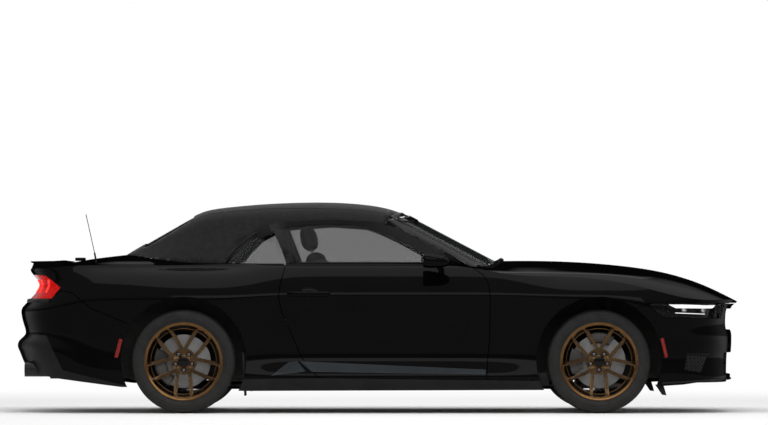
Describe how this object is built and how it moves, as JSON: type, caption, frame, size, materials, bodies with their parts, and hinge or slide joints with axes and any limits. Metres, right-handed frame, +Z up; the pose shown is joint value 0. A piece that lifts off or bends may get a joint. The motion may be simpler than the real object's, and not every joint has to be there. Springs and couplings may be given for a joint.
{
  "type": "convertible muscle car",
  "caption": "Two-door convertible muscle car with a closed fabric top, long bonnet, opening doors, bonnet and boot lid, steered front wheels and rolling wheels.",
  "frame": {"origin": "on the ground under the middle of the car's box", "axes": "+X forward, +Y to the car's left, +Z up"},
  "size_m": [4.8104, 2.136, 1.3921],
  "materials": {
    "paint": "gloss black paint",
    "trim": "satin black moulded plastic",
    "grille": "gloss black mesh",
    "lamp": "clear lens",
    "red_lamp": "red lens",
    "chassis": "satin black steel",
    "liner": "grained black liner",
    "fabric": "black woven canvas",
    "glass": "tinted glass",
    "seat": "black leather",
    "interior": "soft grained black plastic",
    "casting": "cast aluminium",
    "steel": "stainless steel",
    "tyre": "black rubber",
    "bronze": "satin bronze paint on alloy",
    "disc": "machined iron"
  },
  "bodies": {
    "root": {"aerial": "trim", "bumper_beam": "chassis", "cowl": "trim", "dashboard": "interior", "door_frames": "paint", "engine": "casting", "exhaust": "steel", "front_bumper": "paint", "front_fenders": "paint", "front_grilles": "grille", "front_seats": "seat", "front_splitter": "trim", "front_suspension": "chassis", "headlamps": "lamp", "quarter_glass": "glass", "radiator": "casting", "rear_bumper": "paint", "rear_quarters": "paint", "rear_seat": "seat", "rear_suspension": "chassis", "rear_window": "glass", "seat_frames": "chassis", "side_skirts": "trim", "soft_top": "fabric", "steering_column": "interior", "tail_lamps": "red_lamp", "underbody": "chassis", "wheel_arch_liners": "liner", "windscreen": "glass", "windscreen_frame": "paint", "wipers": "trim"},
    "bonnet": {"bonnet": "paint"},
    "boot_lid": {"boot_lid": "paint", "boot_spoiler": "paint"},
    "wheel_front_left": {"brake_disc_front_left": "disc", "rim_front_left": "bronze", "tyre_front_left": "tyre"},
    "wheel_front_right": {"brake_disc_front_right": "disc", "rim_front_right": "bronze", "tyre_front_right": "tyre"},
    "wheel_rear_left": {"brake_disc_rear_left": "disc", "rim_rear_left": "bronze", "tyre_rear_left": "tyre"},
    "wheel_rear_right": {"brake_disc_rear_right": "disc", "rim_rear_right": "bronze", "tyre_rear_right": "tyre"},
    "door_left": {"door_glass_left": "glass", "door_left": "paint", "mirror_left": "paint"},
    "door_right": {"door_glass_right": "glass", "door_right": "paint", "mirror_right": "paint"},
    "knuckle_front_left": {"knuckle_front_left": "casting"},
    "knuckle_front_right": {"knuckle_front_right": "casting"},
    "steering_wheel": {"steering_wheel": "interior"}
  },
  "joints": [
    {"name": "door_right_hinge", "type": "hinge", "parent": "root", "child": "door_right", "pos_m": [0.7395, -0.944, 0.6], "axis": [0, 0, 1], "range_deg": [0, 65]},
    {"name": "door_left_hinge", "type": "hinge", "parent": "root", "child": "door_left", "pos_m": [0.7395, 0.944, 0.6], "axis": [0, 0, -1], "range_deg": [0, 65]},
    {"name": "bonnet_hinge", "type": "hinge", "parent": "root", "child": "bonnet", "pos_m": [0.745, 0, 1.003], "axis": [0, -1, 0], "range_deg": [0, 52]},
    {"name": "boot_hinge", "type": "hinge", "parent": "root", "child": "boot_lid", "pos_m": [-1.7475, 0, 1.037], "axis": [0, 1, 0], "range_deg": [0, 72]},
    {"name": "steer_right", "type": "hinge", "parent": "root", "child": "knuckle_front_right", "pos_m": [1.4555, -0.72, 0.34], "axis": [0, 0, 1], "range_deg": [-34, 34]},
    {"name": "steer_left", "type": "hinge", "parent": "root", "child": "knuckle_front_left", "pos_m": [1.4555, 0.72, 0.34], "axis": [0, 0, 1], "range_deg": [-34, 34]},
    {"name": "spin_front_right", "type": "hinge", "parent": "knuckle_front_right", "child": "wheel_front_right", "pos_m": [1.4555, -0.798, 0.34], "axis": [0, 1, 0], "continuous": true},
    {"name": "spin_front_left", "type": "hinge", "parent": "knuckle_front_left", "child": "wheel_front_left", "pos_m": [1.4555, 0.798, 0.34], "axis": [0, 1, 0], "continuous": true},
    {"name": "spin_rear_right", "type": "hinge", "parent": "root", "child": "wheel_rear_right", "pos_m": [-1.2645, -0.822, 0.34], "axis": [0, 1, 0], "continuous": true},
    {"name": "spin_rear_left", "type": "hinge", "parent": "root", "child": "wheel_rear_left", "pos_m": [-1.2645, 0.822, 0.34], "axis": [0, 1, 0], "continuous": true},
    {"name": "steering_wheel_turn", "type": "hinge", "parent": "root", "child": "steering_wheel", "pos_m": [0.395, 0.372, 0.88], "axis": [-0.9136, 0, 0.4067], "range_deg": [-510, 510]}
  ],
  "couplings": [
    {"joint": "steer_left", "follows": "steer_right", "ratio": 1},
    {"joint": "steering_wheel_turn", "follows": "steer_right", "ratio": 15}
  ]
}
